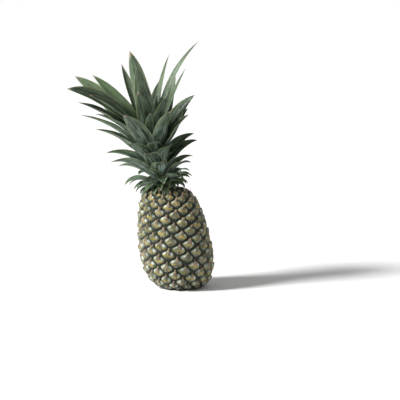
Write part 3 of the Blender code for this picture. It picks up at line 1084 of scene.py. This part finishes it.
# ---- crown ----
@dataclass(frozen=True)
class Blade:
    """One leaf of the crown.

    Attributes:
        turn: Its turn round the crown's axis.
        foot: Height of its foot on that axis.
        start: Distance of its foot from the axis.
        length: Its length.
        width: Its full width, laid flat.
        climb: The slope that it starts at.
        bend: How far it bends over by its point.
        wrap: How far round the stem its foot clasps.
        tone: How fresh a green it is, from 0 to 1.
        frost: How pale its upper face is, from 0 to 1.
        number: A number that its unevenness comes from.
        widest: How far along it is widest.
        foot_share: Width at the foot, as a share of the full width.
        channel: Half the angle that its section turns through, past the foot.
        curl: How far its point curls up again, as an angle.
        twist: How far it rolls about its middle, as an angle.
        taper: Power of its narrowing to the point: more is blunter.
    """

    turn: float
    foot: float
    start: float
    length: float
    width: float
    climb: float
    bend: float
    wrap: float
    tone: float
    frost: float
    number: float
    widest: float = 0.30
    foot_share: float = 0.78
    channel: float = 0.62
    curl: float = 0.0
    twist: float = 0.0
    taper: float = 2.4

    # The same for every leaf: metres, counts, powers, or shares of the length or half width.
    thickness = 0.0013
    thin_edge = 0.00008
    tooth_pitch = 0.0040
    tooth_height = 0.00020
    across_cells = 10
    length_cells = 256
    bend_power = 1.4
    curl_power = 6
    clasp_end = 0.32
    crease = 0.10
    ripple_height = 0.035
    ripple_pace = 150
    edge_paleness = 0.7
    pattern_length = 40

    def flat_width(self, along: np.ndarray) -> np.ndarray:
        """The width along the blade.

        It swells as a quarter sine from the foot to the widest place, and from there
        loses the taper's power of the share of the way to the point.

        Args:
            along: Shares of the length.

        Returns:
            The widths, laid flat.
        """
        swell = np.sin(np.clip(along / self.widest, 0, 1) * math.pi / 2)
        rising = self.foot_share + (1 - self.foot_share) * swell
        past = np.clip((along - self.widest) / (1 - self.widest), 0, 1)
        return self.width * np.where(along < self.widest, rising, 1 - past**self.taper)

    def line(self, along: np.ndarray) -> tuple[np.ndarray, np.ndarray, np.ndarray]:
        """Slope, reach and rise along the blade's middle.

        The slope falls from the climb by the bend times the 1.4th power of the share
        of the length, plus a curl of its 6th power. Reach and rise add up its cosine
        and sine.

        Args:
            along: Shares of the length.

        Returns:
            The slopes, the reaches and the rises.
        """
        fine = np.linspace(0, 1, self.length_cells + 1)
        slope = self.climb - self.bend * fine**self.bend_power + self.curl * fine**self.curl_power
        middle = (slope[1:] + slope[:-1]) / 2
        step = self.length / self.length_cells
        reach = np.append(0.0, np.cumsum(np.cos(middle)) * step)
        rise = np.append(0.0, np.cumsum(np.sin(middle)) * step)
        return tuple(np.interp(along, fine, values) for values in (slope, reach, rise))

    def skin(self, frame: np.ndarray) -> Skin:
        """The blade as a closed, channelled sheet with small forward teeth.

        Across the blade the section is an arc whose angle falls from the clasp at the
        foot to the channel, with a slight crease in the middle. Its two faces are
        half the thickness either side of it, and meet at the edges. The section rolls
        about the middle by the twist.

        Args:
            frame: Carries crown coordinates into the object's, as a 4 by 4 matrix.

        Returns:
            The blade's surface.
        """
        teeth = max(5, round(self.length / self.tooth_pitch))
        along = np.linspace(0, 1, 4 * teeth + 1)
        cells = self.across_cells
        upper = np.sin(np.linspace(math.pi / 2, -math.pi / 2, cells + 1))
        across = np.concatenate([upper, upper[1:-1][::-1]])
        face = np.concatenate([np.ones(cells + 1), -np.ones(cells - 1)])
        face[[0, cells]] = 0.0
        slope, reach, rise = self.line(along)
        half = self.flat_width(along) / 2
        angle = self.wrap + (self.channel - self.wrap) * smoothstep(0.0, self.clasp_end, along)
        swing = angle[:, None] * across[None, :]
        arc = (half / angle)[:, None]
        wide = arc * np.sin(swing)
        lift = arc * (1 - np.cos(swing)) + self.crease * half[:, None] * np.abs(across)[None, :]
        ripple = np.sin(along * self.length * self.ripple_pace + self.number) * smoothstep(0.1, 0.4, along)
        lift = lift + self.ripple_height * half[:, None] * ripple[:, None] * (across**3)[None, :]
        tooth = np.tile([0.0, 0.15, 1.0, 0.1], teeth + 1)[: len(along)]
        tooth = tooth * self.tooth_height * smoothstep(0.05, 0.25, along) * smoothstep(1.0, 0.93, along)
        at_edge = (np.abs(across) > 0.999) * np.sign(across)
        wide = wide + tooth[:, None] * at_edge[None, :]
        thick = self.thickness / 2 * (1 - 0.65 * along)[:, None] * (1 - 0.75 * across**2)[None, :]
        thick = np.minimum(thick, 0.25 * half[:, None] + self.thin_edge)
        outward = np.array([math.cos(self.turn), math.sin(self.turn), 0.0])
        sideways = np.array([-math.sin(self.turn), math.cos(self.turn), 0.0])
        upward = np.array([0.0, 0.0, 1.0])
        facing = -np.sin(slope)[:, None] * outward + np.cos(slope)[:, None] * upward
        centre = (self.start + reach)[:, None] * outward + (self.foot + rise)[:, None] * upward
        stand = lift + thick * face[None, :]
        roll = self.twist * smoothstep(0.05, 0.50, along)[:, None]
        rolled = np.cos(roll) * facing + np.sin(roll) * sideways
        spread = np.cos(roll) * sideways - np.sin(roll) * facing
        points = centre[:, None] + wide[..., None] * spread[:, None] + stand[..., None] * rolled[:, None]
        points = points.reshape(-1, 3) @ frame[:3, :3].T + frame[:3, 3]
        shape = (len(along), len(across))
        values = {
            "along": spread_over(along[:, None], shape),
            "under": spread_over(0.5 - 0.5 * face, shape),
            "edge": spread_over(self.edge_paleness * np.abs(across) ** 10, shape),
            "tone": spread_over(self.tone, shape),
            "frost": spread_over(self.frost, shape),
        }
        u = spread_over(across * 0.5 + self.number, shape)
        uv = np.stack([u, values["along"] * self.length * self.pattern_length], axis=-1)
        return Skin(points, tube_faces(*shape), values, uv)


@dataclass(frozen=True)
class Look:
    """What sets one leaf's looks apart.

    Attributes:
        tone: How fresh a green it is, from 0 to 1.
        frost: How pale its upper face is, from 0 to 1.
        curl: How far its point curls up, in degrees.
        twist: How far it rolls, in degrees.
        broad: Its width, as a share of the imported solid's.
        taper: Power of its narrowing to the point.
    """

    tone: float = 0.15
    frost: float = 0.30
    curl: float = 0.0
    twist: float = 0.0
    broad: float = 1.06
    taper: float = 2.4


@dataclass(frozen=True)
class Crown:
    """The crown: a stem with leaves that follow one another by the golden angle.

    Attributes:
        fruit: The fruit that it stands on.
        lean: How far its axis leans to -X.
        offset: How far it stands off the middle of the neck, to -X.
        stem_radius: At the stem's foot.
        stem_top: At its top.
        stem_length: Its length.
        count: How many leaves there are.
        first_foot: Height of the lowest leaf's foot.
        last_foot: Height of the innermost leaf's foot.
        long_side: The side that the longest leaves grow to.
        long_extra: Share of length gained there, and lost opposite.
        clearance: Between a leaf's foot and the stem.
        tip_gap: How far a blade's tip stays short of its solid's.
        half_thickness: Room that a foot's own thickness takes up on the stem.
        widest_wrap: The furthest that a foot clasps, as an angle.
        sway: How much length and width vary about their stage.
        bend_sway: How much the bend varies.
    """

    fruit: Fruit
    lean: float = math.radians(13.0)
    offset: float = 0.0050
    stem_radius: float = 0.0135
    stem_top: float = 0.0050
    stem_length: float = 0.084
    count: int = 57
    first_foot: float = 0.0045
    last_foot: float = 0.080
    long_side: float = math.pi
    long_extra: float = 0.10
    clearance: float = 0.0003
    tip_gap: float = 0.0003
    half_thickness: float = 0.0007
    widest_wrap: float = 1.25
    sway: float = 0.05
    bend_sway: float = 0.12

    # How far up the crown, then length, width, climb and bend in degrees.
    stages = np.array(
        (
            (0.00, 0.036, 0.0180, 34, 78),
            (0.09, 0.045, 0.0210, 42, 66),
            (0.16, 0.055, 0.0230, 48, 58),
            (0.30, 0.071, 0.0250, 55, 46),
            (0.45, 0.090, 0.0265, 59, 38),
            (0.61, 0.112, 0.0270, 61, 30),
            (0.75, 0.130, 0.0270, 65, 26),
            (0.84, 0.138, 0.0265, 69, 24),
            (0.92, 0.134, 0.0240, 74, 18),
            (1.00, 0.130, 0.0200, 87, 5),
        )
    )
    # Leaves that stand out from their stage: length, width, climb, bend and swing, which
    # is how far round the stem a leaf has moved from its place.
    standouts = {
        6: (0.050, 0.0215, 52, 71, 3),
        11: (0.056, 0.0250, 47, 50, -18),
        13: (0.074, 0.0270, 50, 48, -3),
        14: (0.067, 0.0270, 54, 49, 3),
        19: (0.062, 0.0270, 56, 53, -18),
        21: (0.079, 0.0235, 56, 45, 12),
        22: (0.064, 0.0270, 52, 44, -3),
        24: (0.064, 0.0240, 58, 52, -9),
        29: (0.110, 0.0280, 59, 29, 0),
        31: (0.128, 0.0215, 58, 36, 0),
        37: (0.078, 0.0195, 66, 31, 9),
        39: (0.131, 0.0260, 60, 29, 9),
        40: (0.090, 0.0195, 66, 21, -15),
        42: (0.132, 0.0235, 63, 31, -18),
        43: (0.111, 0.0180, 64, 9, 15),
        44: (0.163, 0.0235, 61, 24, -3),
        45: (0.092, 0.0205, 72, 9, -24),
        46: (0.111, 0.0170, 63, 24, 0),
        47: (0.151, 0.0220, 68, 49, -12),
        48: (0.120, 0.0125, 58, 10, -6),
        49: (0.130, 0.0155, 70, 8, -6),
        50: (0.115, 0.0195, 78, 5, 18),
        51: (0.134, 0.0115, 70, 22, 9),
        52: (0.129, 0.0155, 68, 18, -12),
        53: (0.072, 0.0085, 84, 0, 0),
        54: (0.121, 0.0195, 79, 12, 3),
        55: (0.130, 0.0190, 90, 2, 30),
        56: (0.154, 0.0115, 67, 36, 3),
        57: (0.104, 0.0120, 88, 0, 0),
    }
    looks = {
        14: Look(twist=-25, frost=0.55),
        18: Look(twist=15, frost=0.65),
        22: Look(twist=-25, frost=0.50),
        26: Look(twist=15, tone=0.10, frost=0.75),
        27: Look(twist=-25, tone=0.05, frost=0.15),
        30: Look(twist=-30, tone=0.05, frost=0.15),
        31: Look(twist=0, tone=0.25, frost=0.70),
        34: Look(twist=20, tone=0.10, frost=0.70),
        35: Look(twist=-50, tone=0.0, frost=0.10, taper=2.8),
        37: Look(tone=0.10, frost=0.30, broad=1.25),
        39: Look(twist=20, tone=0.10, frost=0.50, taper=3.0),
        40: Look(twist=0, tone=0.05, frost=0.35, broad=1.2),
        42: Look(twist=40, tone=0.0, frost=0.20, broad=1.2, taper=3.4),
        43: Look(twist=-50, tone=0.55, frost=1.0, broad=1.25),
        44: Look(twist=55, tone=0.50, frost=0.20, broad=1.12, taper=3.2),
        45: Look(twist=0, tone=0.10, frost=0.25, broad=1.3),
        46: Look(twist=0, tone=0.10, frost=0.30, broad=1.4),
        47: Look(twist=60, tone=0.05, frost=0.10, broad=1.2, taper=4.0),
        48: Look(twist=-45, tone=0.35, frost=0.35, broad=1.0),
        49: Look(twist=0, tone=0.45, frost=0.45, curl=22, broad=1.25),
        50: Look(twist=0, tone=0.25, frost=0.20, broad=1.5, taper=3.0),
        51: Look(twist=-10, tone=0.60, frost=0.25, broad=0.9),
        52: Look(twist=45, tone=0.60, frost=0.25, broad=1.35, taper=2.8),
        54: Look(twist=0, tone=0.45, frost=0.45, broad=1.2),
        55: Look(twist=8, tone=0.35, frost=0.20, broad=1.55, taper=3.6),
        56: Look(twist=-50, tone=0.50, frost=0.55, broad=0.9),
    }

    def frame(self) -> np.ndarray:
        """Carries crown coordinates, whose Z is the crown's axis, onto the neck.

        Returns:
            A turn of minus the lean about Y, then a move to the neck, as a matrix.
        """
        cos, sin = math.cos(self.lean), math.sin(self.lean)
        matrix = np.eye(4)
        matrix[0, [0, 2]] = cos, -sin
        matrix[2, [0, 2]] = sin, cos
        matrix[:3, 3] = self.fruit.axis(self.fruit.height) - self.offset, 0.0, self.fruit.height
        return matrix

    def stem_at(self, height: float) -> float:
        """The stem's radius at a height on its axis."""
        share = min(max(height / self.stem_length, 0.0), 1.0)
        return self.stem_radius + (self.stem_top - self.stem_radius) * share

    def blade(self, number: int) -> Blade:
        """The measures of leaf 1, 2, 3 and so on.

        Args:
            number: Which leaf, counted from the lowest.

        Returns:
            Its blade.
        """
        rank = (number - 1) / (self.count - 1)
        turn = (number - 1) * GOLDEN_ANGLE
        foot = self.first_foot + (self.last_foot - self.first_foot) * rank
        uneven = float(scatter(number, 8.0))
        plain = Look(tone=0.06 + 0.22 * uneven, frost=0.50 + 0.40 * uneven, twist=24 * (uneven - 0.5))
        look = self.looks.get(number, plain)
        if number in self.standouts:
            length, width, climb, bend, swing = self.standouts[number]
            turn += math.radians(swing)
        else:
            length, width, climb, bend = (
                float(np.interp(rank, self.stages[:, 0], self.stages[:, k])) for k in range(1, 5)
            )
            sway = [math.sin(SCATTER_PITCH * number + 4.1414 * kind) for kind in range(4)]
            length *= 1 + self.long_extra * math.cos(turn - self.long_side) + self.sway * sway[1]
            width *= 1 + self.sway * sway[2]
            bend *= 1 + self.bend_sway * sway[3]
        length -= self.tip_gap
        width *= look.broad
        start = self.stem_at(foot) + self.clearance + self.half_thickness * math.sin(math.radians(climb))
        return Blade(
            turn=turn,
            foot=foot,
            start=start,
            length=length,
            width=width,
            climb=math.radians(climb),
            bend=math.radians(bend),
            wrap=min(self.widest_wrap, 0.5 * Blade.foot_share * width / start + 0.15),
            tone=look.tone,
            frost=look.frost,
            number=float(number),
            curl=math.radians(look.curl),
            twist=math.radians(look.twist),
            taper=look.taper,
        )

    def build(self, material: bpy.types.Material) -> None:
        """Makes every leaf as its own piece, each standing for its solid.

        Args:
            material: The leaves' finish.
        """
        frame = self.frame()
        for number in range(1, self.count + 1):
            made = self.blade(number).skin(frame).piece(f"leaf_{number:02d}", material, Slot.LEAF)
            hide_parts(f"crown_leaf_{number:02d}")


@dataclass(frozen=True)
class Collar:
    """The small curled leaves that ring the crown's foot.

    Attributes:
        crown: The crown that they belong to.
        count: How many there are.
        shortest: Length of the lowest.
        longest: Length of the highest.
        length_sway: How much a length varies.
        lowest_foot: Height of the lowest one's foot on the crown's axis.
        highest_foot: Height of the highest one's foot.
        narrowest: Width of the lowest.
        broadening: How much wider the highest is.
        climb: The lowest one's climb, its gain to the highest and how much it varies, in degrees.
        bend: The same three for the bend.
    """

    crown: Crown
    count: int = 34
    shortest: float = 0.022
    longest: float = 0.038
    length_sway: float = 0.008
    lowest_foot: float = -0.0008
    highest_foot: float = 0.0075
    narrowest: float = 0.0120
    broadening: float = 0.0060
    climb: tuple[float, float, float] = (14.0, 26.0, 14.0)
    bend: tuple[float, float, float] = (104.0, -32.0, 30.0)

    def blade(self, number: int) -> Blade:
        """The measures of one small leaf, which clasps lower and bends further.

        Args:
            number: Which one, counted from the lowest.

        Returns:
            Its blade.
        """
        share = number / (self.count - 1)
        uneven = float(scatter(number, 11.0)) - 0.5
        climb, bend = (
            math.radians(low + gain * share + sway * uneven) for low, gain, sway in (self.climb, self.bend)
        )
        return Blade(
            turn=(number + 0.5) * GOLDEN_ANGLE + 0.35,
            foot=self.lowest_foot + (self.highest_foot - self.lowest_foot) * share,
            start=self.crown.stem_radius + 0.0006,
            length=self.shortest + (self.longest - self.shortest) * share + self.length_sway * uneven,
            width=self.narrowest + self.broadening * share,
            climb=climb,
            bend=bend,
            wrap=0.60,
            tone=0.25 + 0.45 * float(scatter(number, 12.0)),
            frost=0.25 + 0.60 * float(scatter(number, 13.0)),
            number=100.0 + number,
            widest=0.22,
        )

    def build(self, material: bpy.types.Material) -> bpy.types.Object:
        """Makes the collar as one piece.

        Args:
            material: The leaves' finish.

        Returns:
            The new piece.
        """
        frame = self.crown.frame()
        skins = [self.blade(number).skin(frame) for number in range(self.count)]
        starts = np.cumsum([0] + [len(skin.points) for skin in skins[:-1]])
        joined = Skin(
            np.concatenate([skin.points for skin in skins]),
            np.concatenate([skin.faces + start for skin, start in zip(skins, starts, strict=True)]),
            {name: np.concatenate([skin.values[name] for skin in skins]) for name in skins[0].values},
            np.concatenate([skin.uv for skin in skins]),
        )
        return joined.piece("collar_leaves", material, Slot.LEAF)


# ---- studio ----
class Studio:
    """The floor, the light and the camera."""

    # Metres, angles, and the lamps' strengths.
    floor_size = 12.0
    camera_target = Vector((0.028, 0.0, 0.1307))
    camera_distance = 2.2
    camera_elevation = math.radians(7.0)
    view_width = 0.594
    sensor = 36.0
    sun_from = (-1.0, -0.42, 0.80)
    sun_strength = 5.2
    sun_width = math.radians(16.0)
    fill_place = (1.2, -2.0, 0.9)
    fill_size = 1.6
    fill_power = 1.8
    glow_strength = 0.34
    floor_cells = 8

    def build_floor(self) -> None:
        """Lays a wide pale floor at the height that the object stands on."""
        half = self.floor_size / 2
        cells = self.floor_cells
        steps = np.linspace(-half, half, cells + 1)
        x, y = np.meshgrid(steps, steps, indexing="ij")
        points = np.stack([x, y, np.zeros_like(x)], axis=-1).reshape(-1, 3)
        row, column = np.meshgrid(np.arange(cells), np.arange(cells), indexing="ij")
        corner = (row * (cells + 1) + column).ravel()
        faces = np.stack([corner, corner + cells + 1, corner + cells + 2, corner + 1], axis=-1)
        mesh = bpy.data.meshes.new("floor")
        mesh.from_pydata(points.tolist(), [], faces.tolist())
        mesh.materials.append(FloorFinish().material())
        made = add_object("floor", mesh)

    def build_fill(self) -> None:
        """Hangs one soft square lamp that looks at the object."""
        lamp = bpy.data.lights.new("fill", "AREA")
        lamp.shape = "SQUARE"
        lamp.size = self.fill_size
        lamp.energy = self.fill_power
        made = add_object("fill", lamp)
        made.location = self.fill_place
        aim(made, self.camera_target - Vector(self.fill_place))

    def build_sun(self) -> None:
        """Shines one even, soft light over the object and the floor alike."""
        lamp = bpy.data.lights.new("key", "SUN")
        lamp.energy = self.sun_strength
        lamp.angle = self.sun_width
        aim(add_object("key", lamp), -Vector(self.sun_from))

    def build_world(self) -> None:
        """Surrounds the object with an even pale glow and a white backdrop."""
        world = bpy.data.worlds.new("studio")
        world.use_nodes = True
        tree = world.node_tree
        glow = tree.nodes["Background"]
        backdrop = tree.nodes.new("ShaderNodeBackground")
        for light, strength in ((glow, self.glow_strength), (backdrop, 1.0)):
            light.inputs["Color"].default_value = (1.0, 1.0, 1.0, 1.0)
            light.inputs["Strength"].default_value = strength
        path = tree.nodes.new("ShaderNodeLightPath")
        choice = tree.nodes.new("ShaderNodeMixShader")
        tree.links.new(path.outputs["Is Camera Ray"], choice.inputs[0])
        tree.links.new(glow.outputs[0], choice.inputs[1])
        tree.links.new(backdrop.outputs[0], choice.inputs[2])
        tree.links.new(choice.outputs[0], tree.nodes["World Output"].inputs["Surface"])
        bpy.context.scene.world = world

    def build_camera(self) -> None:
        """Sets the camera up in front, a little above the object."""
        lens = bpy.data.cameras.new("camera")
        lens.sensor_width = self.sensor
        lens.lens = self.sensor * self.camera_distance / self.view_width
        lens.clip_end = 50.0
        made = add_object("camera", lens)
        back = Vector((0.0, -math.cos(self.camera_elevation), math.sin(self.camera_elevation)))
        made.location = self.camera_target + back * self.camera_distance
        aim(made, -back)
        bpy.context.scene.camera = made

    def build(self) -> None:
        """Builds the whole studio."""
        self.build_floor()
        self.build_world()
        self.build_sun()
        self.build_fill()
        self.build_camera()
        bpy.context.scene.view_settings.view_transform = "Standard"


def dress(node: bpy.types.Object, material: bpy.types.Material) -> None:
    """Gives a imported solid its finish.

    Args:
        node: The solid's object.
        material: The finish.
    """
    for slot in node.material_slots:
        slot.material = material
    LOG.info("%s: dressed", node.name)


def main() -> None:
    """Builds the studio and every piece."""
    logging.basicConfig(level=logging.INFO, format="%(message)s")
    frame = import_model()
    Studio().build()
    fruit = Fruit()
    Rind(fruit).build()
    BractPoints(fruit).build()
    crown = Crown(fruit)
    leaf = LeafFinish().material()
    crown.build(leaf)
    Collar(crown).build(leaf)
    dress(frame["nodes"]["stalk_stub"], CutStalkFinish().material())
    dress(frame["nodes"]["crown_stem"], StemFinish().material())


if __name__ == "__main__":
    main()
